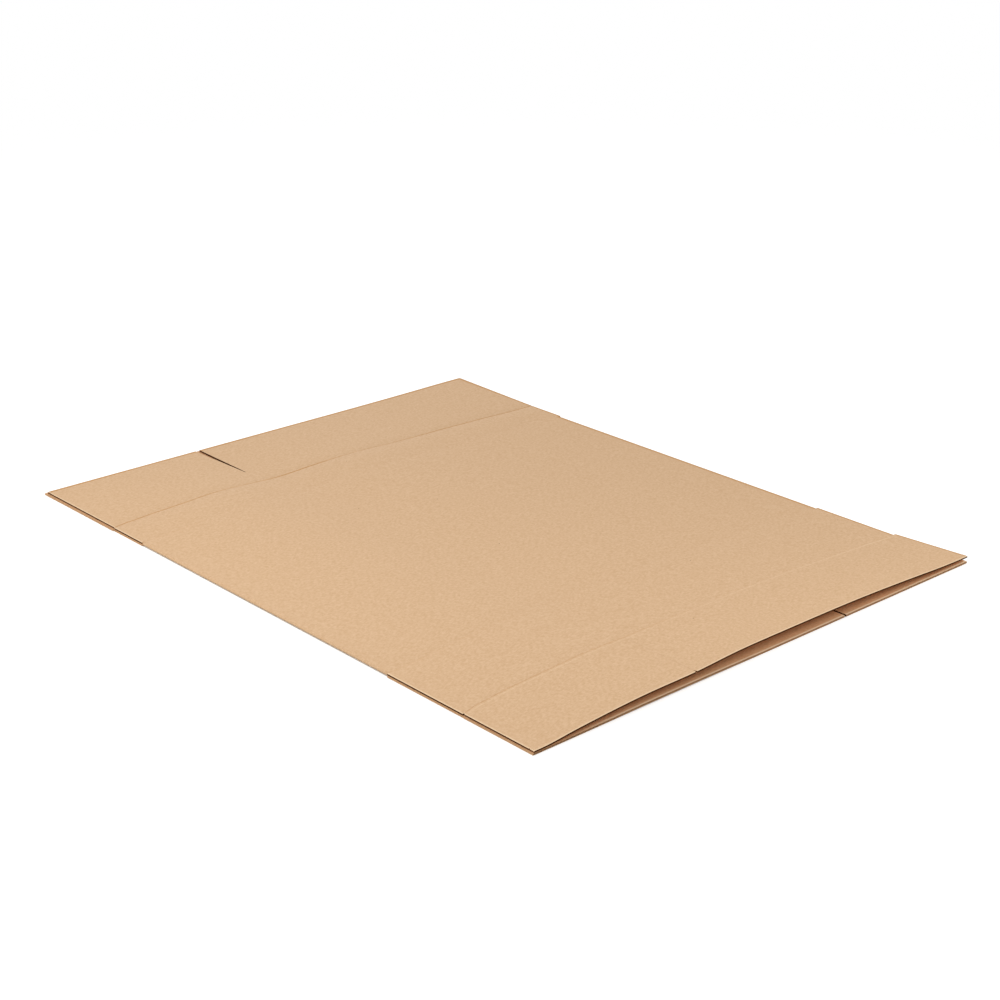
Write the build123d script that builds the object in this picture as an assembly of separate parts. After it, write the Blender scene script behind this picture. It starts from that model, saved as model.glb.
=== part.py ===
from build123d import *

import os

# Flattened shipping box: one slotted and creased sheet of single-wall corrugated board, folded flat
# at two corners into an upper and a lower ply, and closed by a glued lap on its underside.
# X runs along the flutes, Y across the panels, Z up. The origin is under the middle of the sheet.

# The sheet, in millimetres
sheet_length = 1187.5
narrow_panel = 302.0
wide_panel = 598.0
board = 3.0
ply_gap = 0.4
upper_setback = 4.5

# Creases and corner slits, measured from the end that they belong to
left_crease = 211.5
right_crease = 133.0
left_slit = 292.5
right_slit = 289.0
crease_width = 3.0
crease_depth = 0.8
faint_crease_depth = 0.15

# The two folded corners, and how the cut edges lie beside them
fold_inset = 2.5
fold_land = 12.0
left_flap_trim = 2.8
left_slit_trim = 1.6
right_slit_trim = 0.4
far_flare = 5.0

# Where the slotting knife has crushed the upper ply's edges
edge_crush = 0.5
crush_width = 2.5

# Slots between the end flaps
slot_depth = 133.0
slot_mouth = 11.5
slot_tip = 1.6
closed_slot = 0.2
nick_width = 3.5
nick_depth = 4.0
lower_slot = 4.0

# The glued lap in the lower ply
lap_width = 35.0
lap_joggle = 6.0
lap_end_bevel = 12.0
seam_shift = 13.0

# How far the upper ply springs up above the lower one: places across the sheet, then the height there,
# both as shares, at the two ends and along the two main creases
bow_rise = 17.0
across_shares = (0.0, 0.10, 0.24, 0.335, 0.50, 0.70, 0.88, 1.0)
left_end_shares = (0.0, 0.0, 0.0, 0.0, 0.0, 0.0, 0.05, 0.10)
left_crease_shares = (0.0, 0.28, 0.60, 0.27, 0.53, 0.32, 0.13, 0.0)
right_crease_shares = (0.0, 0.37, 0.81, 0.83, 0.89, 0.66, 0.20, 0.0)
right_end_shares = (0.0, 0.31, 0.70, 0.66, 1.0, 0.88, 0.56, 0.35)

overrun = 20.0

# Places worked out from the sizes above: u along the sheet from its left end, v across it
sheet_width = narrow_panel + wide_panel
overall_width = sheet_width + far_flare
fold_radius = board + ply_gap / 2
upper_level = board + ply_gap
u_upper_end = upper_setback
u_left_crease = left_crease
u_right_crease = sheet_length - right_crease
u_fold_start = left_slit
u_fold_end = sheet_length - right_slit
v_near_fold = fold_inset + fold_radius
v_far_fold = sheet_width - fold_inset - fold_radius
v_seam = wide_panel + seam_shift


def at(u, v, z=0):
    """A point of the sheet in the part's frame."""
    return (u - sheet_length / 2, v - overall_width / 2, z)


def plan(*corners):
    """A face on the ground from (u, v) corners."""
    return make_face(Polyline(*[at(u, v) for u, v in corners], close=True))


def slab(u_from, u_to, v_from, v_to, z_from, z_to):
    """A plain block between two corners."""
    face = plan((u_from, v_from), (u_to, v_from), (u_to, v_to), (u_from, v_to))
    return Pos(0, 0, z_from) * extrude(face, amount=z_to - z_from)


def along_flutes(profile, u_from, u_to):
    """A cross-section, drawn in Y and Z, run along the sheet."""
    plane = Plane.YZ.offset(u_from - sheet_length / 2)
    return extrude(plane * profile, amount=u_to - u_from)


def rises_at(u):
    """Heights of the upper ply across the sheet, blended between the ends and the creases."""
    stops = (
        (u_upper_end, left_end_shares),
        (u_left_crease, left_crease_shares),
        (u_right_crease, right_crease_shares),
        (sheet_length, right_end_shares),
    )
    for (u_a, a), (u_b, b) in zip(stops, stops[1:]):
        if u <= u_b:
            part = (u - u_a) / (u_b - u_a)
            return [bow_rise * (p + (q - p) * part) for p, q in zip(a, b)]
    return [bow_rise * share for share in right_end_shares]


def upper_section(u, v_near, v_far, press=0):
    """The upper ply's section at u: crushed at both edges, and pressed from above where it is creased."""
    rises = rises_at(u)
    bowed_width = sheet_width - 2 * fold_land
    places = [fold_land + share * bowed_width for share in across_shares]

    def curve(level):
        return [(at(u, v)[1], level + rise) for v, rise in zip(places, rises)]

    low = curve(upper_level)
    top = curve(upper_level + board - press)
    crushed = board - press - edge_crush
    near_low = (at(u, v_near)[1], low[0][1])
    far_low = (at(u, v_far)[1], low[-1][1])
    far_top = (far_low[0], far_low[1] + crushed)
    near_top = (near_low[0], near_low[1] + crushed)
    flat = ((1, 0), (1, 0))
    outline = Curve() + [
        Line(near_low, low[0]),
        Spline(*low, tangents=flat),
        Polyline(low[-1], far_low, far_top, (far_top[0] - crush_width, top[-1][1]), top[-1]),
        Spline(*top, tangents=flat),
        Polyline(top[0], (near_top[0] + crush_width, top[0][1]), near_top, near_low),
    ]
    return Plane.YZ.offset(u - sheet_length / 2) * make_face(outline)


def upper_ply():
    """Narrow and wide panel lying over the rest, bowed, creased across and slotted at both ends."""
    half = crease_width / 2
    left_flap = (left_flap_trim, overall_width)
    left_corner = (left_slit_trim, sheet_width)
    right_corner = (right_slit_trim, sheet_width)
    right_flap = (0, overall_width)
    sections = [
        upper_section(u_upper_end, *left_flap, press=edge_crush),
        upper_section(u_upper_end + crush_width, *left_flap),
        upper_section(u_left_crease - half, *left_flap),
        upper_section(u_left_crease, *left_corner, press=crease_depth),
        upper_section(u_left_crease + half, *left_corner),
        upper_section(u_fold_start - half, *left_corner),
        upper_section(u_fold_start, *left_corner, press=faint_crease_depth),
        upper_section(u_fold_start + half, *left_corner),
        upper_section(u_fold_end - half, *right_corner),
        upper_section(u_fold_end, *right_corner, press=faint_crease_depth),
        upper_section(u_fold_end + half, *right_corner),
        upper_section(u_right_crease - half, *right_corner),
        upper_section(u_right_crease, *right_corner, press=crease_depth),
        upper_section(u_right_crease + half, *right_flap),
        upper_section(sheet_length - crush_width, *right_flap),
        upper_section(sheet_length, *right_flap, press=edge_crush),
    ]
    ply = loft(sections, ruled=True)

    v_wide = narrow_panel + slot_mouth / 2
    mouth_slope = (slot_mouth - slot_tip) / slot_depth
    left_slot = plan(
        (u_upper_end - overrun, v_wide),
        (u_upper_end - overrun, v_wide - slot_mouth - mouth_slope * overrun),
        (u_upper_end + slot_depth, v_wide - slot_tip),
        (u_upper_end + slot_depth, v_wide),
    )
    v_right = narrow_panel - slot_mouth / 2
    right_slot = plan(
        (sheet_length - slot_depth, v_right),
        (sheet_length - nick_depth, v_right),
        (sheet_length + overrun, v_right),
        (sheet_length + overrun, v_right + nick_width),
        (sheet_length, v_right + nick_width),
        (sheet_length - nick_depth, v_right + closed_slot),
        (sheet_length - slot_depth, v_right + closed_slot),
    )
    slot_height = overrun + bow_rise
    return ply - [extrude(slot, amount=slot_height) for slot in (left_slot, right_slot)]


def lower_ply():
    """Wide and narrow panel lying flat, creased from below, with slots at both ends."""
    v_narrow = v_seam + lower_slot
    wide = slab(0, sheet_length, 0, v_seam, 0, board)
    narrow = slab(0, sheet_length, v_narrow, sheet_width, 0, board)
    flaps = [
        slab(0, u_left_crease, v_narrow, overall_width, 0, board),
        slab(u_right_crease, sheet_length, v_narrow, overall_width, 0, board),
    ]
    half = crease_width / 2
    creases = [
        (u_left_crease, crease_depth),
        (u_fold_start, faint_crease_depth),
        (u_fold_end, faint_crease_depth),
        (u_right_crease, crease_depth),
    ]
    ply = wide + narrow + flaps
    ply -= slab(u_left_crease, u_fold_start, -overrun, left_slit_trim, -overrun, overrun)
    ply -= slab(u_fold_end, u_right_crease, -overrun, right_slit_trim, -overrun, overrun)
    for u, depth in creases:
        groove = make_face(
            Polyline((at(u - half, 0)[0], 0), (at(u, 0)[0], depth), (at(u + half, 0)[0], 0), close=True)
        )
        run = extrude(Plane.XZ * groove, amount=overall_width / 2 + overrun, both=True)
        ply -= run
    return ply


def glued_lap():
    """Tab of the narrow panel, stepped up by one board and stuck to the inside of the wide one."""
    v_tab = v_seam - lap_width
    v_bend = v_seam + lower_slot
    v_flat = v_bend + lap_joggle
    points = [
        (v_tab, board),
        (v_seam, board),
        (v_bend, board),
        (v_flat, 0),
        (v_flat + board, 0),
        (v_flat + board, board),
        (v_flat, board),
        (v_bend, 2 * board),
        (v_tab, 2 * board),
    ]
    profile = make_face(Polyline(*[(at(0, v)[1], z) for v, z in points], close=True))
    tab = along_flutes(profile, slot_depth, sheet_length - slot_depth)
    for u, inward in ((slot_depth, 1), (sheet_length - slot_depth, -1)):
        bevel = plan(
            (u, v_seam),
            (u, v_tab - overrun),
            (u + inward * lap_end_bevel, v_tab - overrun),
            (u + inward * lap_end_bevel, v_tab),
        )
        tab -= Pos(0, 0, board) * extrude(bevel, amount=2 * board)
    return tab


def lap_relief():
    """What the narrow panel gives up beside the seam, where its tab bends up."""
    v_bend = v_seam + lower_slot
    return slab(slot_depth, sheet_length - slot_depth, v_bend, v_bend + lap_joggle, -overrun, board)


def folded_corner(v_centre, outward):
    """Half-round turn that joins the two plies along a folded corner."""
    y_centre = at(0, v_centre)[1]
    ring = Circle(fold_radius) - Circle(ply_gap / 2)
    side = Pos(outward * fold_radius / 2, 0) * Rectangle(fold_radius, 2 * fold_radius)
    return along_flutes(Pos(y_centre, fold_radius) * (ring & side), u_fold_start, u_fold_end)


def flattened_box():
    top = 2 * upper_level + bow_rise + overrun
    corner_strips = [
        slab(u_fold_start, u_fold_end, -overrun, v_near_fold, -overrun, top),
        slab(u_fold_start, u_fold_end, v_far_fold, overall_width + overrun, -overrun, top),
    ]
    lower = lower_ply() - lap_relief() + glued_lap()
    sheet = [ply - corner_strips for ply in (lower, upper_ply())]
    folds = [folded_corner(v_near_fold, -1), folded_corner(v_far_fold, 1)]
    return sheet[0] + sheet[1] + folds


os.makedirs("parts", exist_ok=True)
export_step(flattened_box(), "parts/flattened_box.step")
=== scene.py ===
import math
from collections import namedtuple

import bmesh
import bpy
import numpy as np
from bpy.props import FloatProperty, FloatVectorProperty, IntProperty, PointerProperty
from mathutils import Matrix, Vector


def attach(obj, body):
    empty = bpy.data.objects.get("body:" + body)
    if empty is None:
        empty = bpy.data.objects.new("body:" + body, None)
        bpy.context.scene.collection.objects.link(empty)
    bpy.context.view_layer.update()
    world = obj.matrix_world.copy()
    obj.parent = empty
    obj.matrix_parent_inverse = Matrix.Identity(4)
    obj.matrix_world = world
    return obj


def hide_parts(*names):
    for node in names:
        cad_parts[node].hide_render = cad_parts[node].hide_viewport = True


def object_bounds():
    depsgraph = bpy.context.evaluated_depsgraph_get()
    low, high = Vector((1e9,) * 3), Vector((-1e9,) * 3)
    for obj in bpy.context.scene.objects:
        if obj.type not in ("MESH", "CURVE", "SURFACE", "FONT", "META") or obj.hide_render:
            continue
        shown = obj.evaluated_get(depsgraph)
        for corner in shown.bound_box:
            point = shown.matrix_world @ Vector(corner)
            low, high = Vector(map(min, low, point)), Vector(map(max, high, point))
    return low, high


# A flattened shipping box of single-wall corrugated board, made as one mesh: an upper ply that
# bows up, a flat lower ply, the two folded corners that join them, and the glued lap inside.
# u runs along the sheet from its left end, with the flutes, and v across it from its near edge.

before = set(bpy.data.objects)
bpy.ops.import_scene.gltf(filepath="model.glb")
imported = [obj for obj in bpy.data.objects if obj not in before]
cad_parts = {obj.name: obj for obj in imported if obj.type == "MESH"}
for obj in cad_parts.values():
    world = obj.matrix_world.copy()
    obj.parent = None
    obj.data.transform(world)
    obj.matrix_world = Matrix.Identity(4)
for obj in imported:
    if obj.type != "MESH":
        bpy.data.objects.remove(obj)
CAD_LOW, CAD_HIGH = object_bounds()

bl_info = {
    "name": "Flattened shipping box",
    "version": (1, 0, 0),
    "blender": (4, 5, 0),
    "location": "View3D > Sidebar > Flat box",
    "description": "Builds a flattened corrugated box in its CAD model's frame, with a plain stage",
    "category": "Object",
}

MM = 0.001
BODY = "root"
CAD_NODE = "flattened_box"
SHEET_NAME = "corrugated_sheet"
SHADE_NAME = "crease_shade"
WHITE = (1.0, 1.0, 1.0, 1.0)
MERGE_DISTANCE = MM * MM
SHARP_ANGLE = math.radians(40)

# How far the upper ply springs up: places across the sheet, then the height there, both as shares
ACROSS_SHARES = (0.0, 0.06, 0.10, 0.24, 0.335, 0.40, 0.50, 0.57, 0.70, 0.88, 1.0)
LEFT_END_SHARES = (0.0, 0.0, 0.0, 0.0, 0.0, 0.0, 0.0, 0.0, 0.0, 0.05, 0.10)
LEFT_CREASE_SHARES = (0.0, 0.12, 0.28, 0.60, 0.27, 0.29, 0.53, 0.54, 0.32, 0.13, 0.0)
RIGHT_CREASE_SHARES = (0.0, 0.17, 0.37, 0.81, 0.83, 0.85, 0.89, 0.86, 0.66, 0.20, 0.0)
RIGHT_END_SHARES = (0.0, 0.22, 0.37, 0.68, 0.72, 0.89, 0.96, 0.95, 0.89, 0.56, 0.35)

# Rows over half a crease, from its middle outwards
CREASE_ROW_SHARES = (0.0, 0.3, 0.6, 1.0)

# How much painted shade each crease gets, how far it is pressed in and how far off its line it
# lies, at places across the sheet, all as shares. Painted shade below 0 is a painted highlight: the
# rim of the right crease, which catches the light.
CREASE_PLACE_SHARES = (
    0.0, 0.03, 0.08, 0.15, 0.20, 0.25, 0.32, 0.36, 0.43, 0.52, 0.62, 0.75, 0.93, 1.0,
)
LEFT_SHADE_SHARES = (
    0.75, 0.75, 0.7, 0.65, 0.6, 0.3, 0.4, 1.0, 1.0, 0.2, 0.2, 0.8, 0.62, 0.55,
)
LEFT_WANDER_SHARES = (
    0.0, -0.85, -0.9, 0.2, 0.3, 0.4, -0.1, -0.2, -0.4, 0.3, 0.9, 0.2, 0.7, 0.9,
)
RIGHT_SHADE_SHARES = (
    0.25, 0.22, 0.22, 0.22, 0.22, 0.2, 0.2, 0.16, 0.1, 0.0, 0.0, 0.0, 0.0, 0.0,
)
RIGHT_LIT_SHARES = (
    -0.15, -0.19, -0.18, -0.21, -0.22, -0.2, -0.17, -0.11, -0.08, -0.1, -0.19, -0.14, -0.34, -0.3,
)
RIGHT_PRESS_SHARES = (
    0.6, 0.6, 0.6, 0.6, 0.6, 0.55, 0.5, 0.4, 0.3, 0.3, 0.3, 0.3, 0.3, 0.3,
)
RIGHT_WANDER_SHARES = (
    0.1, -1.4, -1.6, -1.0, -0.8, -0.8, -0.5, -0.5, -0.6, -0.7, -1.1, -1.6, -1.7, -0.6,
)
FAINT_SHADE_SHARES = (
    0.12, 0.10, 0.08, 0.06, 0.05, 0.03, 0.0, 0.0, 0.0, 0.0, 0.0, 0.0, 0.0, 0.0,
)
EVEN_SHARES = (1.0,) * len(CREASE_PLACE_SHARES)
NO_SHARES = (0.0,) * len(CREASE_PLACE_SHARES)

# How the upper ply's cut edges are painted: painted shade along its far side and over the first
# rows of its left end, which face away from the light, and a painted highlight along its near side
# and its right end, which face it
EDGE_SHADE_SHARE = 0.8
EDGE_HIGHLIGHT_SHARE = 1.0
SHADED_ROWS = 3

# How far the lower ply stands back at its right end, and how strong the painted highlight on its
# lip is over its last rows, at places across it
LIP_PLACE_SHARES = (0.0, 0.07, 0.16, 0.22, 0.36, 0.48, 1.0)
LIP_BACK_SHARES = (0.0, 0.0, 0.4, 1.0, 1.0, 0.2, 0.2)
LIP_HIGHLIGHT_SHARES = (0.0, 0.0, 1.0, 1.0, 1.0, 1.0, 1.0)
LIP_HIGHLIGHT_ROWS = 2

# How much of the room between the liners the wave of fluted paper fills
FLUTE_FILL_SHARE = 0.98

# Columns of each ply where the near and the far folded corner join on, and columns of the upper
# ply's far edge: up to the right crease, and on the flared flap past it. Those of the far side are
# counted from the end.
UPPER_FOLDS = (2, -5)
LOWER_FOLDS = (1, -3)
FAR_EDGE, FLARED_EDGE = -3, -1

# Lines of a cut along the flutes, each with its inset and its level from the top down: the upper
# liner's edge, the fluted paper that lies back, and the lower liner's edge
SIDE_LINES = ((0, 0), (0, 1), (1, 1), (1, 2), (0, 2), (0, 3))

# Grain of the paper: clouds and streaks, whose sum mottles the colour between two levels, and torn
# fibres. Single fibres are too fine to show, so the streaks are drawn coarser.
FIBRE_CLOUD = {"Scale": 1 / (4.5 * MM), "Detail": 3.0, "Roughness": 0.65}
FIBRE_STREAK = {"Scale": 1 / (1.6 * MM), "Detail": 2.0, "Roughness": 0.6}
TORN_FIBRE = {"Scale": 1 / (2.2 * MM), "Detail": 3.0, "Roughness": 0.7}
STREAK_STRETCH = (1.0, 0.3, 1.0)
MOTTLE_LOW, MOTTLE_HIGH = 0.75, 1.25

# Bark specks about a millimetre across: the net that they lie in, their reach in one of its cells,
# how many of the cells have one, and how dark it is
SPECK_NET = 30 * MM
SPECK_REACH_SHARE = 0.035
SPECK_CELL_SHARE = 0.2
SPECK_SHARE = 0.7

# Height of the paper's grain, how strongly it shows, and how much the flutes add to it
LINER_GRAIN = {"Strength": 0.5, "Distance": 0.05 * MM}
TORN_GRAIN = {"Strength": 0.6, "Distance": 0.08 * MM}
WASHBOARD_SHARE = 0.12

# How matt the papers and the floor are
LINER_SHINE = {"Roughness": 0.88, "IOR": 1.45, "Specular IOR Level": 0.25}
TORN_SHINE = {"Roughness": 0.95, "IOR": 1.45, "Specular IOR Level": 0.15}
FLOOR_SHINE = {"Roughness": 0.9, "Specular IOR Level": 0.0}

# The camera's sensor in millimetres, how far the floor lies under the sheet, the width of the
# lamps, and each lamp's place and the setting that holds its power
SENSOR_WIDTH = 36.0
FLOOR_DROP = 0.2 * MM
LAMP_SIZE = 0.7
LAMPS = (
    ("key_softbox", (-0.2, -1.4, 1.2), "key_power"),
    ("fill_softbox", (1.35, 0.36, 0.8), "fill_power"),
    ("back_softbox", (-2.4, 1.4, 0.8), "back_power"),
)

# Places of the four finishes in the sheet's list of materials
FACE, INSIDE, CUT, FLUTING_AND_SHADE = 0, 1, 2, 3

Crease = namedtuple("Crease", "middle depth rub press wander")


def number(name, description, value, **kind):
    """A number in the sidebar."""
    return FloatProperty(name=name, description=description, default=value, **kind)


def count(name, description, value, low, high):
    """A whole number in the sidebar."""
    return IntProperty(name=name, description=description, default=value, min=low, max=high)


def length(name, description, size_mm):
    """A size in the sidebar, written in millimetres."""
    return number(name, description, size_mm * MM, unit="LENGTH", precision=5)


def angle(name, description, degrees):
    """An angle in the sidebar, written in degrees."""
    return number(name, description, math.radians(degrees), subtype="ANGLE")


def linear(hex_colour):
    """Linear red, green and blue of an sRGB hex colour."""
    channels = [int(hex_colour[k:k + 2], 16) / 255 for k in (1, 3, 5)]
    return tuple(c / 12.92 if c <= 0.04045 else ((c + 0.055) / 1.055) ** 2.4 for c in channels)


def colour(name, description, hex_colour):
    """A colour in the sidebar, written as sRGB hex."""
    return FloatVectorProperty(
        name=name, description=description, default=linear(hex_colour),
        subtype="COLOR", min=0, max=1,
    )


class SheetSizes(bpy.types.PropertyGroup):
    """Sizes of the slotted and folded sheet."""

    board: length("Board", "Thickness of the board", 3.0)
    ply_gap: length("Ply gap", "Room between the plies along the folded corners", 0.4)
    narrow_panel: length("Narrow panel", "Width of the narrow panels", 302.0)
    wide_panel: length("Wide panel", "Width of the wide panels", 598.0)
    upper_setback: length("Upper setback", "How far the upper ply stands back at the left end", 4.5)
    left_crease: length("Left crease", "Left end to its main crease", 211.5)
    right_crease: length("Right crease", "Right end to its main crease", 133.0)
    left_slit: length("Left slit", "How far the corners are slit at the left end", 292.5)
    right_slit: length("Right slit", "How far the corners are slit at the right end", 289.0)
    crease_width: length("Crease width", "Width of a pressed crease", 3.0)
    crease_depth: length("Crease depth", "Depth of the main creases", 0.8)
    faint_depth: length("Faint crease depth", "Depth of the creases at the slit ends", 0.15)
    lit_offset: length("Lit offset", "How far past the right crease its rim catches the light", 4.5)
    crease_wander: length("Crease wander", "How far a crease strays from its line", 5.0)
    wander_fade: length("Wander fade", "How far along the sheet the straying fades out", 60.0)
    fold_inset: length("Fold inset", "How far the folded corners stand back", 2.5)
    fold_land: length("Fold land", "Level strip beside a folded corner", 12.0)
    left_flap_trim: length("Left flap trim", "Near edge's setback on the upper left flap", 2.8)
    left_slit_trim: length("Left slit trim", "The same for both plies beside the left slit", 1.6)
    right_slit_trim: length("Right slit trim", "The same for both plies beside the right slit", 0.4)
    right_flap_trim: length("Right flap trim", "The same for the upper right flap", 1.3)
    notch_width: length("Notch width", "Width of the torn notch beside that flap", 2.4)
    notch_depth: length("Notch depth", "How far in from the near edge the notch goes", 2.8)
    far_flare: length("Far flare", "How far the flaps stand out at the far edge", 5.0)
    edge_crush: length("Edge crush", "How far the knife has crushed the upper ply's edges", 0.5)
    crush_width: length("Crush width", "Width of the crushed edges", 2.5)
    lip_setback: length("Lip setback", "How far the lower ply's right end stands back at most", 1.5)
    slot_depth: length("Slot depth", "Depth of the slots between flaps", 133.0)
    slot_mouth: length("Slot mouth", "Width of the slots as they were cut", 11.5)
    open_depth: length("Open slot depth", "Depth of the open slot", 151.0)
    open_mouth: length("Open slot mouth", "Mouth of the open slot", 9.0)
    open_shift: length("Open slot shift", "How far its mouth has moved to the near side", 5.0)
    open_slant: length("Open slot slant", "How much further its bottom has", 7.5)
    slot_tip: length("Slot tip", "Width at the bottom of the open slot", 1.6)
    closed_slot: length("Closed slot", "Width of the slot that has closed up", 0.2)
    nick_width: length("Nick width", "Mouth of the nick in the closed slot", 3.5)
    nick_depth: length("Nick depth", "Depth of the nick in the closed slot", 4.0)
    lower_slot: length("Lower slot", "Width of the slots and the seam in the lower ply", 4.0)
    lap_width: length("Lap width", "Width of the glued lap", 35.0)
    lap_joggle: length("Lap joggle", "Width of the step that lifts the lap", 6.0)
    lap_end_bevel: length("Lap end bevel", "Slant of the lap's ends", 12.0)
    seam_shift: length("Seam shift", "How far the seam lies past the wide panel", 13.0)
    bow_rise: length("Bow rise", "How far the upper ply springs up", 17.0)


class BoardMake(bpy.types.PropertyGroup):
    """How the corrugated board is made up, as its cut edges show it."""

    flute_pitch: length("Flute pitch", "From one flute to the next", 6.5)
    liner: length("Liner", "Thickness of the paper on both faces", 0.28)
    medium: length("Medium", "Thickness of the fluted paper", 0.24)
    flute_reach: length("Flute reach", "How far the open flutes reach in from a cut end", 9.0)
    open_recess: length("Open recess", "How far the fluted paper lies back along a side cut", 4.0)
    shut_recess: length("Shut recess", "The same along the lower near edge, pressed shut", 0.3)
    hairline: length("Hairline", "Width of a cut with no board taken out", 0.3)
    glue_line: length("Glue line", "Thickness of the glue under the lap", 0.05)
    row_spacing: length("Row spacing", "Longest step of the mesh along the flutes", 48.0)
    flute_steps: count("Flute steps", "Points along one wave of the fluted paper", 8, 4, 16)
    fold_steps: count("Fold steps", "Faces round a folded corner", 8, 4, 24)


class BoardFinish(bpy.types.PropertyGroup):
    """Colours of the board."""

    face: colour("Face", "Uncoated kraft liner", "#DDBA95")
    face_dark: colour("Darker fibres", "Clouds of darker fibre in the liner", "#CFA981")
    # Inside liner colours: browner testliner, made browner still as painted warm shade for the
    # inside of the mouth
    inside: colour("Inside", "Browner liner on the inside of the box", "#DFB086")
    inside_dark: colour("Inside fibres", "Darker fibre in the inside liner", "#CF9E72")
    # Colour of the painted shade in the creases and along the edges that face away from the light
    painted_shade: colour("Painted shade", "Painted shade in creases and on edges facing away from the light", "#BD8748")
    # Colour of the painted highlight on the right crease's rim, the edges that face the light and
    # the lower ply's lip
    painted_highlight: colour("Painted highlight", "Painted highlight on the lit crease rim, lit edges and lower lip", "#F2D5B0")
    speck: colour("Specks", "Bark specks in the liner", "#8A5F3C")
    cut: colour("Cut edge", "Raw cut edge of the board", "#D4AB82")
    cut_dark: colour("Cut edge fibres", "Darker fibre in the cut edge", "#BF946B")
    # Fluting colours: the paper's own browner tone, darkened further as painted shade for the
    # hollows of the open flutes
    fluting: colour("Fluting", "Fluted paper inside the board", "#6B3D1A")
    fluting_dark: colour("Fluting fibres", "Darker fibre in the fluted paper", "#542D10")


class StageSettings(bpy.types.PropertyGroup):
    """Camera, lamps and floor."""

    lens: number("Lens", "Focal length of the camera", 71.88, unit="CAMERA")
    camera_place: FloatVectorProperty(
        name="Camera place", description="Where the camera stands",
        default=(2.19525, -1.954, 1.214), subtype="TRANSLATION",
    )
    camera_heading: angle("Camera heading", "Turn of the view about the vertical", 47.94)
    camera_pitch: angle("Camera pitch", "How far the view dips", 21.65)
    camera_roll: angle("Camera roll", "Turn of the picture about the view", 0.13)
    key_power: number("Key", "Power of the lamp before the near side", 9.8, unit="POWER")
    fill_power: number("Fill", "Power of the lamp beside the right end", 4.3, unit="POWER")
    back_power: number("Back", "Power of the lamp beside the left end", 13.0, unit="POWER")
    room_level: number("Room", "Light from the room all round", 0.68, min=0)
    floor: colour("Floor", "Pale floor", "#E4E4E2")
    floor_lift: number("Floor lift", "How far it is lifted to white where it is seen", 0.5, min=0)
    floor_inset: length("Floor inset", "Where its own shade starts in from near and far side", 2.0)
    floor_clear: number("Floor clear", "Radius of the floor before it fades", 1.8, unit="LENGTH")
    floor_end: number("Floor end", "Radius where it has gone", 3.6, unit="LENGTH")


class Layout:
    """Places on the sheet, worked out from its sizes."""

    def __init__(self, sizes, make):
        self.sizes = sizes
        self.make = make
        self.length = CAD_HIGH.x - CAD_LOW.x
        self.overall = CAD_HIGH.y - CAD_LOW.y
        self.width = self.overall - sizes.far_flare
        self.upper_level = sizes.board + sizes.ply_gap
        fold_radius = sizes.board + sizes.ply_gap / 2
        self.near_fold = sizes.fold_inset + fold_radius
        self.far_fold = self.width - sizes.fold_inset - fold_radius
        self.right_crease = self.length - sizes.right_crease
        self.fold_start = sizes.left_slit
        self.fold_end = self.length - sizes.right_slit
        self.upper_slot_end = sizes.upper_setback + sizes.open_depth
        self.lap_start = sizes.slot_depth
        self.slot_start = self.length - sizes.slot_depth
        self.seam = sizes.wide_panel + sizes.seam_shift
        self.lap_edge = self.seam - sizes.lap_width
        self.bend = self.seam + sizes.lower_slot
        self.flat = self.bend + sizes.lap_joggle
        deep, faint = sizes.crease_depth, sizes.faint_depth
        rim = self.right_crease + sizes.lit_offset
        self.creases = (
            Crease(sizes.left_crease, deep, LEFT_SHADE_SHARES, EVEN_SHARES, LEFT_WANDER_SHARES),
            Crease(self.fold_start, faint, FAINT_SHADE_SHARES, EVEN_SHARES, NO_SHARES),
            Crease(self.fold_end, faint, FAINT_SHADE_SHARES, EVEN_SHARES, NO_SHARES),
            Crease(
                self.right_crease, deep, RIGHT_SHADE_SHARES, RIGHT_PRESS_SHARES, RIGHT_WANDER_SHARES,
            ),
            # A crease of no depth: only a painted highlight on the right crease's rim, which
            # catches the light
            Crease(rim, 0.0, RIGHT_LIT_SHARES, NO_SHARES, NO_SHARES),
        )
        self.rows = self.row_places()

    def row_places(self):
        """Rows of the mesh along the sheet: where its shape changes, long stretches divided."""
        sizes, gap = self.sizes, self.make.hairline
        half = sizes.crease_width / 2
        keys = {0.0, self.length}
        # Rows for the strip of painted shade at the upper ply's left end
        for step in range(1, SHADED_ROWS + 1):
            keys.add(sizes.upper_setback + step * sizes.crush_width)
        keys |= {self.length - sizes.nick_depth, self.length - sizes.crush_width}
        keys |= {self.upper_slot_end, self.lap_start, self.slot_start}
        keys |= {self.lap_start + gap, self.slot_start - gap}
        keys |= {self.lap_start + sizes.lap_end_bevel, self.slot_start - sizes.lap_end_bevel}
        keys |= {self.fold_start - gap, self.fold_end + gap}
        for crease in self.creases:
            for share in CREASE_ROW_SHARES:
                keys |= {crease.middle - half * share, crease.middle + half * share}
        keys = sorted(keys)
        rows = [keys[0]]
        for key in keys[1:]:
            steps = max(1, math.ceil((key - rows[-1]) / self.make.row_spacing))
            rows += list(np.linspace(rows[-1], key, steps + 1)[1:])
        return np.array(rows)

    def flutes(self, start, end):
        """Columns of the mesh across a panel, one to a flute."""
        return list(np.linspace(start, end, 1 + round((end - start) / self.make.flute_pitch)))

    def between(self, start, end):
        """Which spaces between rows lie between two places along the sheet."""
        middles = (self.rows[:-1] + self.rows[1:]) / 2
        return (middles > start) & (middles < end)


class Ply:
    """One layer of board as a grid of points, with the cells that are there."""

    def __init__(self, u, v, under, top, shade, pressed):
        self.u, self.v, self.under, self.top, self.shade = u, v, under, top, shade
        self.pressed = pressed
        self.cells = np.ones((u.shape[0] - 1, u.shape[1] - 1), bool)
        self.joined = np.zeros((u.shape[0] - 1, u.shape[1]), bool)


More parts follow.
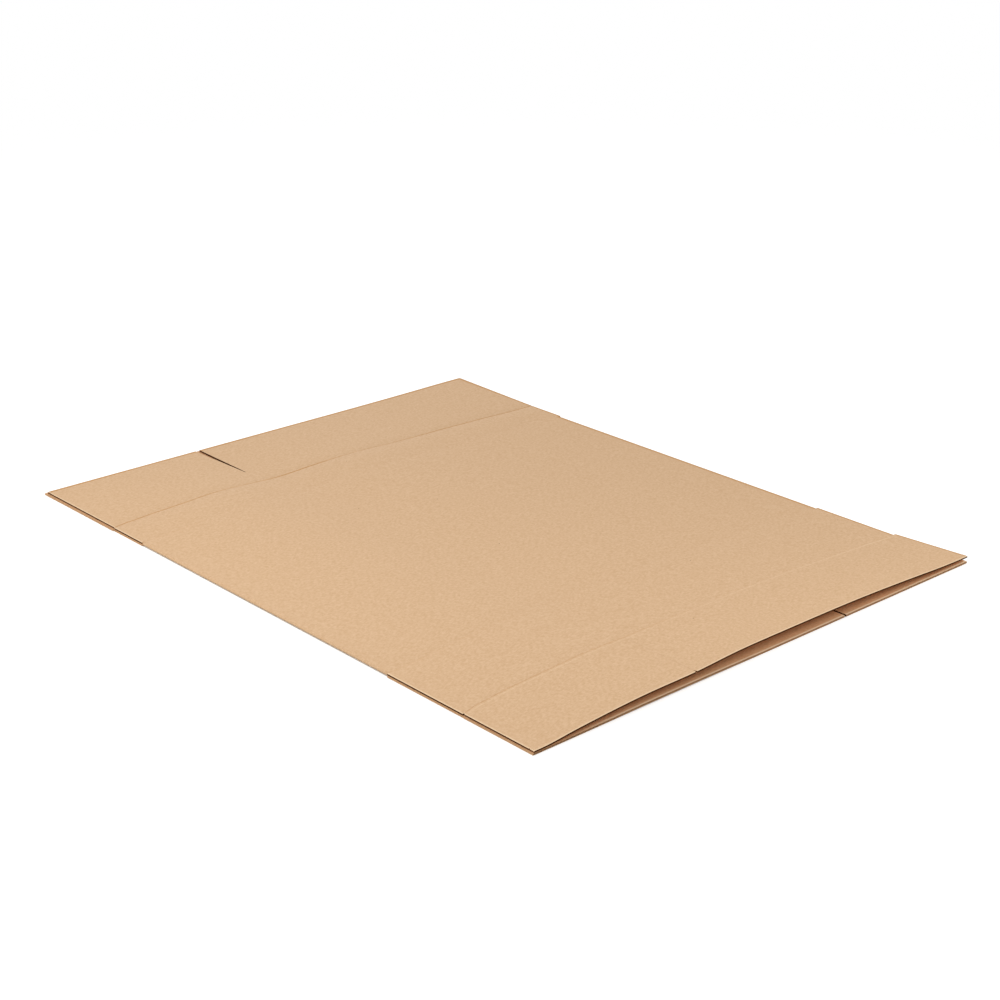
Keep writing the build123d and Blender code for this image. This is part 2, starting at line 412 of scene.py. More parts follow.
class SheetMesh:
    """Gathers the points and faces of the sheet."""

    def __init__(self, lay):
        self.lay = lay
        self.points, self.shades, self.faces, self.finishes = [], [], [], []

    def point(self, u, v, z, shade):
        """Adds a point in the part's frame, and gives its number."""
        self.points.append((u + CAD_LOW.x, v + CAD_LOW.y, z + CAD_LOW.z))
        self.shades.append(shade)
        return len(self.points) - 1

    def face(self, corners, finish):
        """Adds a face between points."""
        self.faces.append(corners)
        self.finishes.append(finish)

    def strip(self, first, second, finish):
        """Four-sided faces between two rows of points."""
        for k in range(len(first) - 1):
            self.face((first[k], first[k + 1], second[k + 1], second[k]), finish)


def level_curve(places, heights, at):
    """A smooth curve through the points, level at both ends, read at the places given."""
    places, heights = np.array(places), np.array(heights)
    steps, rises = np.diff(places), np.diff(heights)
    system, wanted = np.eye(len(places)), np.zeros(len(places))
    for k in range(1, len(places) - 1):
        before, after = steps[k - 1], steps[k]
        system[k, k - 1:k + 2] = after, 2 * (before + after), before
        wanted[k] = 3 * (after * rises[k - 1] / before + before * rises[k] / after)
    slopes = np.linalg.solve(system, wanted)
    at = np.clip(at, places[0], places[-1])
    k = np.clip(np.searchsorted(places, at) - 1, 0, len(steps) - 1)
    t = (at - places[k]) / steps[k]
    start = heights[k] * (1 + 2 * t) * (1 - t) ** 2 + slopes[k] * steps[k] * t * (1 - t) ** 2
    end = heights[k + 1] * t ** 2 * (3 - 2 * t) + slopes[k + 1] * steps[k] * t ** 2 * (t - 1)
    return start + end


def bow(lay, u, v):
    """Height of the upper ply above its rest, straight along the flutes between the creases."""
    sizes = lay.sizes
    bowed = lay.width - 2 * sizes.fold_land
    places = [sizes.fold_land + share * bowed for share in ACROSS_SHARES]
    stops = (sizes.upper_setback, sizes.left_crease, lay.right_crease, lay.length)
    tables = (LEFT_END_SHARES, LEFT_CREASE_SHARES, RIGHT_CREASE_SHARES, RIGHT_END_SHARES)
    curves = [level_curve(places, table, v) for table in tables]
    height = np.zeros_like(u)
    for k in range(len(stops) - 1):
        part = (u - stops[k]) / (stops[k + 1] - stops[k])
        inside = (u >= stops[k]) & (u <= stops[k + 1])
        height = np.where(inside, curves[k] * (1 - part) + curves[k + 1] * part, height)
    return sizes.bow_rise * height


def across(lay, v, shares):
    """A crease's shares, read at places across the sheet."""
    return np.interp(v / lay.width, CREASE_PLACE_SHARES, shares)


def off_crease(crease, u, reach):
    """How far each point is from the middle of a crease: 0 on it, 1 at its reach and beyond."""
    return np.clip(np.abs(u - crease.middle) / reach, 0, 1)


def crease_press(lay, u, v):
    """How far the creases press the board in."""
    press = np.zeros_like(u)
    for crease in lay.creases:
        hollow = (1 + np.cos(math.pi * off_crease(crease, u, lay.sizes.crease_width / 2))) / 2
        press += crease.depth * hollow * across(lay, v, crease.press)
    return press


def crease_painted_light(lay, u, v):
    """Painted shade in the creases, where their grooves fall dark, and below 0 a painted highlight
    on the right crease's lit rim.
    """
    rub = np.zeros_like(u)
    for crease in lay.creases:
        off = off_crease(crease, u, lay.sizes.crease_width / 2)
        rub += (1 - off ** 2) * across(lay, v, crease.rub)
    return rub


def crease_wander(lay, u, v):
    """How far the points on and beside the creases lie off along the sheet."""
    shift = np.zeros_like(u)
    for crease in lay.creases:
        nearness = 1 - off_crease(crease, u, lay.sizes.wander_fade)
        shift += lay.sizes.crease_wander * nearness * across(lay, v, crease.wander)
    return shift


def near_trim(lay, u, left_flap, right_flap):
    """How far a ply's near edge stands back at a row: on the flaps, and beside the slits."""
    if u < lay.sizes.left_crease:
        return left_flap
    if u <= lay.fold_start:
        return lay.sizes.left_slit_trim
    return lay.sizes.right_slit_trim if u <= lay.right_crease else right_flap


def upper_columns(lay, u):
    """Places across the upper ply at one row, bent to follow the slots at its two ends."""
    sizes = lay.sizes
    trim = near_trim(lay, u, sizes.left_flap_trim, sizes.right_flap_trim)
    if abs(u - lay.right_crease) < sizes.notch_width / 2:
        trim = sizes.notch_depth
    wide_side = sizes.narrow_panel + sizes.slot_mouth / 2
    closed_side = sizes.narrow_panel - sizes.slot_mouth / 2
    stops = (
        sizes.upper_setback, lay.upper_slot_end, lay.slot_start,
        lay.length - sizes.nick_depth, lay.length,
    )
    mouth_far = wide_side - sizes.open_shift
    tip_far = mouth_far - sizes.open_slant
    closed_far = closed_side + sizes.closed_slot
    nick_far = closed_side + sizes.nick_width
    near_places = (mouth_far - sizes.open_mouth, tip_far - sizes.slot_tip) + (closed_side,) * 3
    slot_near = np.interp(u, stops, near_places)
    slot_far = np.interp(u, stops, (mouth_far, tip_far, closed_far, closed_far, nick_far))
    narrow = round((sizes.narrow_panel - lay.near_fold) / lay.make.flute_pitch)
    wide = round((lay.far_fold - sizes.narrow_panel) / lay.make.flute_pitch)
    near_side = list(np.linspace(lay.near_fold, slot_near, narrow + 1))
    far_side = list(np.linspace(slot_far, lay.far_fold, wide + 1))
    near_edge = [trim, trim + sizes.crush_width]
    splay = np.interp(u, (sizes.upper_setback, sizes.left_crease), (sizes.far_flare, 0))
    far = lay.width + splay
    far_edge = [far - sizes.crush_width, far, lay.overall - sizes.crush_width, lay.overall]
    return near_edge + near_side + far_side + far_edge, len(near_edge + near_side) - 1


def crush_edges_and_paint_light(lay, top, shade):
    """Presses the upper ply's cut edges down, with painted shade on those facing away from the
    light and a painted highlight, a mark below 0, on those facing it.
    """
    flared = lay.rows >= lay.right_crease
    ends = (np.s_[0, :], np.s_[-1, :])
    sides = (np.s_[:, 0], np.s_[flared, FLARED_EDGE], np.s_[~flared, FAR_EDGE])
    for edge in ends + sides:
        top[edge] -= lay.sizes.edge_crush
    folded = (lay.rows >= lay.fold_start) & (lay.rows <= lay.fold_end)
    # Painted shade along the far side and the left end's first rows; painted highlight along the
    # right end and the near side
    shade[:SHADED_ROWS, :] = EDGE_SHADE_SHARE
    shade[folded, UPPER_FOLDS[1]:] = EDGE_SHADE_SHARE
    shade[~folded & ~flared, FAR_EDGE - 1:] = EDGE_SHADE_SHARE
    shade[flared, FLARED_EDGE - 1:] = EDGE_SHADE_SHARE
    shade[-1, :] = -EDGE_HIGHLIGHT_SHARE
    shade[:, 0] = -EDGE_HIGHLIGHT_SHARE


def fold_strips(lay, ply, near_column, far_column):
    """Takes the edge strips out where the corners are folded, and marks where the folds join on."""
    gap = lay.make.hairline
    apart = lay.between(lay.fold_start - gap, lay.fold_end + gap)
    ply.cells[apart, :near_column] = False
    ply.cells[apart, far_column:] = False
    folded = lay.between(lay.fold_start, lay.fold_end)
    ply.joined[folded, near_column] = True
    ply.joined[folded, far_column] = True


def upper_ply(lay):
    """Narrow and wide panel lying over the rest, bowed, creased and slotted at both ends."""
    grid = [upper_columns(lay, u) for u in lay.rows]
    slot_column = grid[0][1]
    v = np.array([columns for columns, _ in grid])
    u = np.repeat(np.maximum(lay.rows, lay.sizes.upper_setback)[:, None], v.shape[1], axis=1)
    under = lay.upper_level + bow(lay, u, v)
    top = under + lay.sizes.board - crease_press(lay, u, v)
    shade = crease_painted_light(lay, u, v)
    crush_edges_and_paint_light(lay, top, shade)
    ply = Ply(u + crease_wander(lay, u, v), v, under, top, shade, pressed=False)
    fold_strips(lay, ply, UPPER_FOLDS[0], v.shape[1] + UPPER_FOLDS[1])
    ply.cells[lay.between(0, lay.right_crease), FAR_EDGE + 1:] = False
    ply.cells[lay.between(0, lay.upper_slot_end), slot_column] = False
    ply.cells[lay.between(lay.slot_start, lay.length), slot_column] = False
    return ply


def lower_ply(lay):
    """Wide and narrow panel lying flat, creased from below, with the glued lap bent up."""
    sizes, gap = lay.sizes, lay.make.hairline
    wide = [0.0] + lay.flutes(lay.near_fold, lay.seam)
    lap = [lay.lap_edge, lay.seam, lay.bend]
    narrow = lay.flutes(lay.flat, lay.far_fold) + [lay.width, lay.overall]
    columns = np.array(wide + lap + narrow)
    edge, bend = len(wide), len(wide + lap) - 1
    u, v = np.meshgrid(lay.rows, columns, indexing="ij")
    v[:, 0] = [near_trim(lay, row, 0.0, 0.0) for row in lay.rows]
    under = crease_press(lay, u, v)
    top = np.full_like(u, sizes.board)

    lapped = (lay.rows > lay.lap_start) & (lay.rows < lay.slot_start)
    for column in range(edge, bend + 1):
        under[lapped, column] = sizes.board + lay.make.glue_line
        top[lapped, column] = 2 * sizes.board + lay.make.glue_line
    for column, bevel in ((edge, sizes.lap_end_bevel), (edge + 1, gap)):
        low, high = lay.lap_start + bevel, lay.slot_start - bevel
        u[lapped, column] = np.clip(u[lapped, column], low, high)

    shade = crease_painted_light(lay, u, v)
    # Painted highlight on the lower ply's lip at its right end, where the light falls on it
    highlight = np.interp(v / lay.width, LIP_PLACE_SHARES, LIP_HIGHLIGHT_SHARES)
    shade[-LIP_HIGHLIGHT_ROWS:, :] = -EDGE_HIGHLIGHT_SHARE * highlight[-LIP_HIGHLIGHT_ROWS:, :]
    back = np.interp(v / lay.width, LIP_PLACE_SHARES, LIP_BACK_SHARES)
    past_crease = np.clip((u - lay.right_crease) / sizes.right_crease, 0, 1)
    u -= sizes.lip_setback * past_crease * back
    ply = Ply(u, v, under, top, shade, pressed=True)
    fold_strips(lay, ply, LOWER_FOLDS[0], v.shape[1] + LOWER_FOLDS[1])
    ply.cells[lay.between(sizes.left_crease, lay.right_crease), -1:] = False
    lap_rows = lay.between(lay.lap_start + gap, lay.slot_start - gap)
    cut_rows = lay.between(lay.lap_start, lay.slot_start) & ~lap_rows
    ply.cells[:, edge - 1] = False
    ply.cells[~lap_rows, edge:bend] = False
    ply.cells[cut_rows, bend] = False
    return ply


def runs(flags):
    """Start and end of each unbroken stretch of true flags."""
    padded = np.concatenate(([False], flags, [False]))
    changes = np.flatnonzero(padded[1:] != padded[:-1])
    return list(zip(changes[::2], changes[1::2]))


def edge_levels(lay, under, top):
    """Heights of the two liners at a cut edge, from the top down."""
    return top, top - lay.make.liner, under + lay.make.liner, under


def fluted_end(sheet, ply, row, beside):
    """A ply's cut end: the edges of both liners, and the wave of fluted paper between open flutes.

    Gives the points along the top and the underside of each cell, for the faces that meet the end.
    """
    lay, make = sheet.lay, sheet.lay.make
    # On the upper ply the lower liner's edge takes the fluting colour too: painted shade under the
    # cut end
    inside = CUT if ply.pressed else FLUTING_AND_SHADE
    apart = ply.u[beside, 0] - ply.u[row, 0]
    inward = math.copysign(make.flute_reach, apart)
    step = make.flute_pitch / make.flute_steps
    rims = {}
    for first, last in runs(ply.cells[min(row, beside)]):
        columns = np.arange(first, last + 1)
        widths = np.diff(ply.v[row, first:last + 1])
        counts = [max(1, round(width / step)) for width in widths]
        parts = [j + np.arange(n) / n for j, n in zip(columns, counts)]
        at = np.concatenate(parts + [[last]])
        lines = [grid[row] for grid in (ply.u, ply.v, ply.top, ply.under, ply.shade)]
        lines.append(ply.under[beside])
        u, v, top, under, shade, under_in = (
            np.interp(at, columns, line[first:last + 1]) for line in lines
        )
        under_in = under + (under_in - under) * make.flute_reach / abs(apart)
        top_in = under_in + lay.sizes.board

        closeness = np.clip(np.minimum(v - v[0], v[-1] - v) / step, 0, 1)
        wave = np.cos(2 * math.pi * v / make.flute_pitch)
        rows = []
        for place, high, low in ((u, top, under), (u + inward, top_in, under_in)):
            high_in, low_in = high - make.liner, low + make.liner
            room = high_in - low_in
            swing = (FLUTE_FILL_SHARE * room - make.medium) / 2
            drop = closeness * (room / 2 - swing * wave - make.medium / 2)
            lift = closeness * (room / 2 + swing * wave - make.medium / 2)
            heights = (high, high_in, high_in - drop, low_in + lift, low_in, low)
            rows.append([
                [sheet.point(*spot) for spot in zip(place, v, line, shade)] for line in heights
            ])
        front, back = rows
        sheet.strip(front[0], front[1], CUT)
        sheet.strip(front[2], front[3], inside)
        sheet.strip(front[4], front[5], inside)
        for ceiling, floor in ((1, 2), (3, 4)):
            sheet.strip(front[ceiling], back[ceiling], inside)
            sheet.strip(back[ceiling], back[floor], inside)
            sheet.strip(back[floor], front[floor], inside)
        marks = np.concatenate(([0], np.cumsum(counts)))
        for k, j in enumerate(range(first, last)):
            rims[j] = [line[marks[k]:marks[k + 1] + 1] for line in (front[0], front[5])]
    return rims


def cut_side(sheet, ply, column, side, first, last):
    """A ply's cut along the flutes: both liners' edges, and the fluted paper that lies back."""
    lay, make = sheet.lay, sheet.lay.make
    shut = ply.pressed and column == 0
    depth = side * (make.shut_recess if shut else make.open_recess)
    lines = [[] for _ in SIDE_LINES]
    for row in range(first, last + 1):
        from_end = min(ply.u[row, column], lay.length - ply.u[row, column])
        recess = 0 if row in (first, last) or from_end < make.flute_reach else depth
        levels = edge_levels(lay, ply.under[row, column], ply.top[row, column])
        u, v, shade = (grid[row, column] for grid in (ply.u, ply.v, ply.shade))
        for line, (inset, level) in zip(lines, SIDE_LINES):
            line.append(sheet.point(u, v + inset * recess, levels[level], shade))
    inside = CUT if shut else FLUTING_AND_SHADE
    # Along the lower ply's cuts, except its near edge, the liners' edges take the fluting colour as
    # painted shade
    rim = FLUTING_AND_SHADE if ply.pressed and not shut else CUT
    for upper, lower, finish in zip(lines, lines[1:], (rim, inside, inside, inside, rim)):
        sheet.strip(upper, lower, finish)


def cut_across(sheet, ply, row, first, last):
    """A short cut across the flutes, crushed shut."""
    lines = [[] for _ in range(4)]
    for column in range(first, last + 1):
        levels = edge_levels(sheet.lay, ply.under[row, column], ply.top[row, column])
        u, v, shade = (grid[row, column] for grid in (ply.u, ply.v, ply.shade))
        for line, level in zip(lines, levels):
            line.append(sheet.point(u, v, level, shade))
    for upper, lower in zip(lines, lines[1:]):
        sheet.strip(upper, lower, CUT)


def add_ply(sheet, ply):
    """Both faces of a ply and every cut edge."""
    rows, columns = ply.u.shape
    rims = {0: fluted_end(sheet, ply, 0, 1), rows - 2: fluted_end(sheet, ply, rows - 1, rows - 2)}
    indices = []
    for heights in (ply.top, ply.under):
        spots = np.dstack((ply.u, ply.v, heights, ply.shade))
        indices.append([[sheet.point(*spot) for spot in line] for line in spots])
    liners = (INSIDE, FACE) if ply.pressed else (FACE, INSIDE)
    for i, j in zip(*np.nonzero(ply.cells)):
        for k, index in enumerate(indices):
            if i == 0:
                corners = rims[i][j][k][::-1] + [index[i + 1][j], index[i + 1][j + 1]]
            elif i == rows - 2:
                corners = [index[i][j + 1], index[i][j]] + rims[i][j][k]
            else:
                corners = [index[i][j], index[i + 1][j], index[i + 1][j + 1], index[i][j + 1]]
            sheet.face(tuple(corners), liners[k])

    empty = np.zeros(rows - 1, bool)
    for j in range(columns):
        before = ply.cells[:, j - 1] if j > 0 else empty
        after = ply.cells[:, j] if j < columns - 1 else empty
        for side, here in ((1, after & ~before), (-1, before & ~after)):
            for first, last in runs(here & ~ply.joined[:, j]):
                cut_side(sheet, ply, j, side, first, last)
    for i in range(1, rows - 1):
        for first, last in runs(ply.cells[i - 1] != ply.cells[i]):
            cut_across(sheet, ply, i, first, last)


def add_fold(sheet, upper, lower, upper_column, lower_column, outward):
    """A folded corner: the board turns half round from the upper ply to the lower one."""
    lay = sheet.lay
    angles = np.linspace(0, math.pi, lay.make.fold_steps + 1)
    start, end = lay.fold_start - MERGE_DISTANCE, lay.fold_end + MERGE_DISTANCE
    rows = np.flatnonzero((lay.rows >= start) & (lay.rows <= end))
    rings = []
    for row in rows:
        top, inner_top = upper.top[row, upper_column], upper.under[row, upper_column]
        inner_low, low = lower.top[row, lower_column], lower.under[row, lower_column]
        u, v, shade = (grid[row, upper_column] for grid in (upper.u, upper.v, upper.shade))
        outer = edge_levels(lay, inner_top, top)
        inner = edge_levels(lay, low, inner_low)[::-1]
        ring = []
        for high, level in zip(outer, inner):
            middle, radius = (high + level) / 2, (high - level) / 2
            ring.append([
                sheet.point(
                    u, v + outward * radius * math.sin(a), middle + radius * math.cos(a), shade,
                )
                for a in angles
            ])
        rings.append(ring)
    for one, two in zip(rings, rings[1:]):
        sheet.strip(one[0], two[0], FACE)
        sheet.strip(one[-1], two[-1], INSIDE)
    for ring in (rings[0], rings[-1]):
        for outer, inner in zip(ring, ring[1:]):
            sheet.strip(outer, inner, CUT)


def sheet_object(sheet, materials):
    """The gathered faces as one closed mesh, with the painted shade and highlight of its creases
    and edges stored on its points.
    """
    mesh = bpy.data.meshes.new(SHEET_NAME)
    mesh.from_pydata(sheet.points, [], sheet.faces)
    for material in materials:
        mesh.materials.append(material)
    mesh.polygons.foreach_set("material_index", sheet.finishes)
    shade = mesh.attributes.new(SHADE_NAME, "FLOAT", "POINT")
    shade.data.foreach_set("value", sheet.shades)
    body = bmesh.new()
    body.from_mesh(mesh)
    bmesh.ops.remove_doubles(body, verts=body.verts, dist=MERGE_DISTANCE)
    loose = [vert for vert in body.verts if not vert.link_faces]
    bmesh.ops.delete(body, geom=loose, context="VERTS")
    bmesh.ops.recalc_face_normals(body, faces=body.faces)
    for face in body.faces:
        face.smooth = True
    body.to_mesh(mesh)
    body.free()
    mesh.set_sharp_from_angle(angle=SHARP_ANGLE)
    piece = bpy.data.objects.new(SHEET_NAME, mesh)
    bpy.context.scene.collection.objects.link(piece)
    return piece


def add_node(tree, kind, inputs=None, **settings):
    """A shader node with its settings; an input given as a socket is linked, any other is set."""
    node = tree.nodes.new("ShaderNode" + kind)
    for key, value in settings.items():
        setattr(node, key, value)
    for key, value in (inputs or {}).items():
        if isinstance(value, bpy.types.NodeSocket):
            tree.links.new(value, node.inputs[key])
        else:
            node.inputs[key].default_value = value
    return node


def new_material(name):
    """An empty node material."""
    material = bpy.data.materials.new(name)
    material.use_nodes = True
    material.node_tree.nodes.clear()
    return material, material.node_tree


def rgba(values):
    """A colour with its alpha."""
    return (*values, 1.0)


def kraft_liner(name, light, dark, finish, make):
    """Uncoated kraft liner, pressed smooth on the paper machine and left matt.

    Long brown fibres give soft clouds a few millimetres wide, finer streaks across the flutes and
    a rare dark bark speck. The flutes show through as a faint washboard. Painted shade darkens the
    creases and the edges that face away from the light; a painted highlight lightens the right
    crease's rim, the edges that face the light and the lower ply's lip.
    """
    material, tree = new_material(name)
    place = add_node(tree, "TexCoord").outputs["Object"]
    cloud = add_node(tree, "TexNoise", {"Vector": place, **FIBRE_CLOUD})
    stretched = add_node(tree, "Mapping", {"Vector": place, "Scale": STREAK_STRETCH})
    streak = add_node(tree, "TexNoise", {"Vector": stretched.outputs["Vector"], **FIBRE_STREAK})
    both = add_node(tree, "Math", {
        0: cloud.outputs["Fac"], 1: streak.outputs["Fac"],
    }, operation="ADD")
    share = add_node(tree, "MapRange", {
        "Value": both.outputs[0], "From Min": MOTTLE_LOW, "From Max": MOTTLE_HIGH,
    })
    paper = add_node(tree, "Mix", {
        "Factor": share.outputs["Result"], "A": rgba(dark), "B": rgba(light),
    }, data_type="RGBA")

    cells = add_node(tree, "TexVoronoi", {"Vector": place, "Scale": 1 / SPECK_NET})
    near = add_node(tree, "Math", {
        0: cells.outputs["Distance"], 1: SPECK_REACH_SHARE,
    }, operation="LESS_THAN")
    pick = add_node(tree, "SeparateColor", {"Color": cells.outputs["Color"]})
    few = add_node(tree, "Math", {
        0: pick.outputs["Red"], 1: SPECK_CELL_SHARE,
    }, operation="LESS_THAN")
    speck = add_node(tree, "Math", {0: near.outputs[0], 1: few.outputs[0]}, operation="MULTIPLY")
    strength = add_node(tree, "Math", {0: speck.outputs[0], 1: SPECK_SHARE}, operation="MULTIPLY")
    flecked = add_node(tree, "Mix", {
        "Factor": strength.outputs[0], "A": paper.outputs["Result"], "B": rgba(finish.speck),
    }, data_type="RGBA")

    # The mark paints shade above 0 and a highlight below 0
    mark = add_node(tree, "Attribute", attribute_name=SHADE_NAME)
    painted_shade = add_node(tree, "Mix", {
        "Factor": mark.outputs["Fac"], "A": flecked.outputs["Result"], "B": rgba(finish.painted_shade),
    }, data_type="RGBA")
    highlight = add_node(tree, "Math", {0: mark.outputs["Fac"], 1: -1.0}, operation="MULTIPLY")
    painted_highlight = add_node(tree, "Mix", {
        "Factor": highlight.outputs[0], "A": painted_shade.outputs["Result"], "B": rgba(finish.painted_highlight),
    }, data_type="RGBA")

    axes = add_node(tree, "SeparateXYZ", {"Vector": place})
    turn = add_node(tree, "Math", {
        0: axes.outputs["Y"], 1: 2 * math.pi / make.flute_pitch,
    }, operation="MULTIPLY")
    washboard = add_node(tree, "Math", {0: turn.outputs[0]}, operation="SINE")
    ridge = add_node(tree, "Math", {
        0: washboard.outputs[0], 1: WASHBOARD_SHARE, 2: streak.outputs["Fac"],
    }, operation="MULTIPLY_ADD")
    bump = add_node(tree, "Bump", {"Height": ridge.outputs[0], **LINER_GRAIN})
    shader = add_node(tree, "BsdfPrincipled", {
        "Base Color": painted_highlight.outputs["Result"], "Normal": bump.outputs["Normal"], **LINER_SHINE,
    })
    add_node(tree, "OutputMaterial", {"Surface": shader.outputs["BSDF"]})
    return material


def raw_paper(name, light, dark):
    """Paper with no finish: torn or pulped fibres, seen as fine streaks on a fully matt surface."""
    material, tree = new_material(name)
    place = add_node(tree, "TexCoord").outputs["Object"]
    fibres = add_node(tree, "TexNoise", {"Vector": place, **TORN_FIBRE})
    paper = add_node(tree, "Mix", {
        "Factor": fibres.outputs["Fac"], "A": rgba(dark), "B": rgba(light),
    }, data_type="RGBA")
    bump = add_node(tree, "Bump", {"Height": fibres.outputs["Fac"], **TORN_GRAIN})
    shader = add_node(tree, "BsdfPrincipled", {
        "Base Color": paper.outputs["Result"], "Normal": bump.outputs["Normal"], **TORN_SHINE,
    })
    add_node(tree, "OutputMaterial", {"Surface": shader.outputs["BSDF"]})
    return material


def outer_liner(finish, make):
    """Kraft liner on the outside of the box, the paler of the two."""
    return kraft_liner("uncoated_kraft_liner", finish.face, finish.face_dark, finish, make)


def inner_liner(finish, make):
    """Testliner on the inside of the box, made with recycled fibre and a little browner, partly as
    painted warm shade inside the mouth at the right end.
    """
    return kraft_liner("uncoated_testliner", finish.inside, finish.inside_dark, finish, make)


def board_edge(finish):
    """Raw edge of both liners, cut by the slotting knife: pale torn fibre."""
    return raw_paper("raw_die_cut_board_edge", finish.cut, finish.cut_dark)


def fluting_paper_and_shade(finish):
    """Recycled fluting, steamed into waves: browner than the liners and darkened further as painted
    shade. It also paints shade on the upper ply's lower liner edge at its ends and on the lower
    ply's liner edges along its cuts.
    """
    return raw_paper("recycled_fluting_paper", finish.fluting, finish.fluting_dark)


def seen_directly(tree):
    """Light Path rays that show the backdrop: straight, mirrored and through glass."""
    path = add_node(tree, "LightPath")
    mirrored = add_node(tree, "Math", {
        0: path.outputs["Is Glossy Ray"], 1: path.outputs["Is Transmission Ray"],
    }, operation="MAXIMUM")
    seen = add_node(tree, "Math", {
        0: path.outputs["Is Camera Ray"], 1: mirrored.outputs[0],
    }, operation="MAXIMUM")
    return seen.outputs[0]


def pale_floor(settings):
    """Matt white painted floor, lifted to white where it is seen, so that only shadows show.

    Under the sheet it isn't lifted, so the slots look down into the dark, and a line of shade
    shows where a folded corner rests.
    """
    material, tree = new_material("matt_white_floor_paint")
    place = add_node(tree, "TexCoord").outputs["Object"]
    off_middle = add_node(tree, "VectorMath", {0: place}, operation="ABSOLUTE")
    half = (CAD_HIGH - CAD_LOW) / 2
    past_edge = add_node(tree, "VectorMath", {
        0: off_middle.outputs["Vector"], 1: (half.x, half.y - settings.floor_inset, 0.0),
    }, operation="SUBTRACT")
    past = add_node(tree, "SeparateXYZ", {"Vector": past_edge.outputs["Vector"]})
    furthest = add_node(tree, "Math", {
        0: past.outputs["X"], 1: past.outputs["Y"],
    }, operation="MAXIMUM")
    outside = add_node(tree, "Math", {
        0: furthest.outputs[0], 1: 0.0,
    }, operation="GREATER_THAN")
    seen_outside = add_node(tree, "Math", {
        0: seen_directly(tree), 1: outside.outputs[0],
    }, operation="MULTIPLY")
    lift = add_node(tree, "Math", {
        0: seen_outside.outputs[0], 1: settings.floor_lift,
    }, operation="MULTIPLY")
    shader = add_node(tree, "BsdfPrincipled", {
        "Base Color": rgba(settings.floor), **FLOOR_SHINE,
        "Emission Color": WHITE, "Emission Strength": lift.outputs[0],
    })
    radius = add_node(tree, "VectorMath", {0: place}, operation="LENGTH")
    fade = add_node(tree, "MapRange", {
        "Value": radius.outputs["Value"],
        "From Min": settings.floor_clear, "From Max": settings.floor_end,
    }, interpolation_type="SMOOTHSTEP")
    clear = add_node(tree, "BsdfTransparent")
    mixed = add_node(tree, "MixShader", {
        "Fac": fade.outputs["Result"], 1: shader.outputs["BSDF"], 2: clear.outputs["BSDF"],
    })
    add_node(tree, "OutputMaterial", {"Surface": mixed.outputs["Shader"]})
    return material


def white_room(settings):
    """World that is white where it is seen and dim where it lights."""
    world = bpy.data.worlds.new("white_room")
    world.use_nodes = True
    tree = world.node_tree
    tree.nodes.clear()
    level = add_node(tree, "MapRange", {
        "Value": seen_directly(tree), "To Min": settings.room_level, "To Max": 1.0,
    })
    light = add_node(tree, "Background", {
        "Color": WHITE, "Strength": level.outputs["Result"],
    })
    add_node(tree, "OutputWorld", {"Surface": light.outputs["Background"]})
    return world


def soft_lamp(name, place, power):
    """A square softbox turned towards the middle of the sheet, out of sight of the camera."""
    data = bpy.data.lights.new(name, "AREA")
    data.shape = "SQUARE"
    data.size = LAMP_SIZE
    data.energy = power
    lamp = bpy.data.objects.new(name, data)
    lamp.location = place
    lamp.rotation_euler = (-Vector(place)).to_track_quat("-Z", "Y").to_euler()
    lamp.visible_camera = False
    bpy.context.scene.collection.objects.link(lamp)
    return lamp


class FLATBOX_OT_sheet(bpy.types.Operator):
    """Build the folded sheet of corrugated board in place of its CAD solid"""

    bl_idname = "flatbox.sheet"
    bl_label = "Fold the sheet"

    def execute(self, context):
        scene = context.scene
        sizes, make, finish = scene.flatbox_sheet, scene.flatbox_board, scene.flatbox_finish
        lay = Layout(sizes, make)
        sheet = SheetMesh(lay)
        upper, lower = upper_ply(lay), lower_ply(lay)
        add_ply(sheet, upper)
        add_ply(sheet, lower)
        for upper_column, lower_column, outward in zip(UPPER_FOLDS, LOWER_FOLDS, (-1, 1)):
            add_fold(sheet, upper, lower, upper_column, lower_column, outward)
        liners = (outer_liner(finish, make), inner_liner(finish, make))
        piece = sheet_object(sheet, (*liners, board_edge(finish), fluting_paper_and_shade(finish)))
        if not piece.data.polygons:
            raise RuntimeError("the sheet has no faces")
        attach(piece, BODY)
        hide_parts(CAD_NODE)
        return {"FINISHED"}


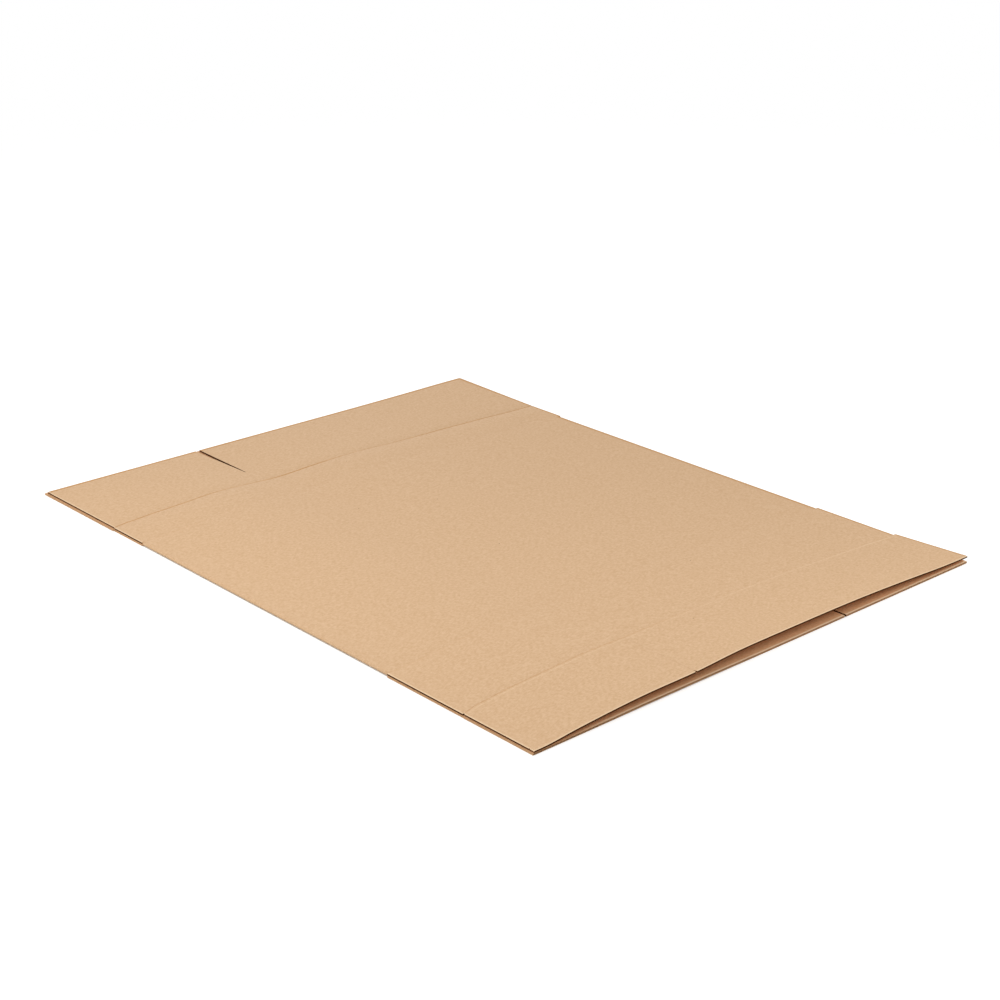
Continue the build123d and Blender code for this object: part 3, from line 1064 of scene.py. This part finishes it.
class FLATBOX_OT_stage(bpy.types.Operator):
    """Set up the pale floor, the soft lamps and the camera"""

    bl_idname = "flatbox.stage"
    bl_label = "Set the stage"

    def execute(self, context):
        scene = context.scene
        settings = scene.flatbox_stage
        reach = settings.floor_end
        around = ((-1, -1), (1, -1), (1, 1), (-1, 1))
        corners = [(x * reach, y * reach, -FLOOR_DROP) for x, y in around]
        mesh = bpy.data.meshes.new("floor")
        mesh.from_pydata(corners, [], [(0, 1, 2, 3)])
        mesh.materials.append(pale_floor(settings))
        floor = bpy.data.objects.new("floor", mesh)
        scene.collection.objects.link(floor)

        scene.world = white_room(settings)
        for name, place, power in LAMPS:
            soft_lamp(name, place, getattr(settings, power))

        data = bpy.data.cameras.new("photo_camera")
        data.lens = settings.lens
        data.sensor_width = SENSOR_WIDTH
        camera = bpy.data.objects.new("photo_camera", data)
        camera.location = settings.camera_place
        turn = Matrix.Rotation(settings.camera_heading, 3, "Z")
        dip = Matrix.Rotation(math.pi / 2 - settings.camera_pitch, 3, "X")
        roll = Matrix.Rotation(settings.camera_roll, 3, "Z")
        camera.rotation_euler = (turn @ dip @ roll).to_euler()
        scene.collection.objects.link(camera)
        scene.camera = camera
        scene.view_settings.view_transform = "Standard"
        return {"FINISHED"}


class FLATBOX_PT_panel(bpy.types.Panel):
    """Sidebar panel with the sizes, colours and stage of the flattened box"""

    bl_idname = "FLATBOX_PT_panel"
    bl_label = "Flattened box"
    bl_space_type = "VIEW_3D"
    bl_region_type = "UI"
    bl_category = "Flat box"

    def draw(self, context):
        scene = context.scene
        sheet_groups = (scene.flatbox_sheet, scene.flatbox_board, scene.flatbox_finish)
        stage_groups = (scene.flatbox_stage,)
        for operator, groups in (
            (FLATBOX_OT_sheet.bl_idname, sheet_groups),
            (FLATBOX_OT_stage.bl_idname, stage_groups),
        ):
            column = self.layout.column()
            column.operator(operator)
            for group in groups:
                for key in group.__annotations__:
                    column.prop(group, key)


CLASSES = (
    SheetSizes, BoardMake, BoardFinish, StageSettings,
    FLATBOX_OT_sheet, FLATBOX_OT_stage, FLATBOX_PT_panel,
)
SETTINGS = {
    "flatbox_sheet": SheetSizes,
    "flatbox_board": BoardMake,
    "flatbox_finish": BoardFinish,
    "flatbox_stage": StageSettings,
}


def register():
    """Adds the classes, and their settings to the scene."""
    for kind in CLASSES:
        bpy.utils.register_class(kind)
    for name, group in SETTINGS.items():
        setattr(bpy.types.Scene, name, PointerProperty(type=group))


def unregister():
    """Takes the settings and the classes out again."""
    for name in SETTINGS:
        delattr(bpy.types.Scene, name)
    for kind in reversed(CLASSES):
        bpy.utils.unregister_class(kind)


def main():
    """Builds the sheet and its stage."""
    register()
    bpy.ops.flatbox.sheet()
    bpy.ops.flatbox.stage()


if __name__ == "__main__":
    main()
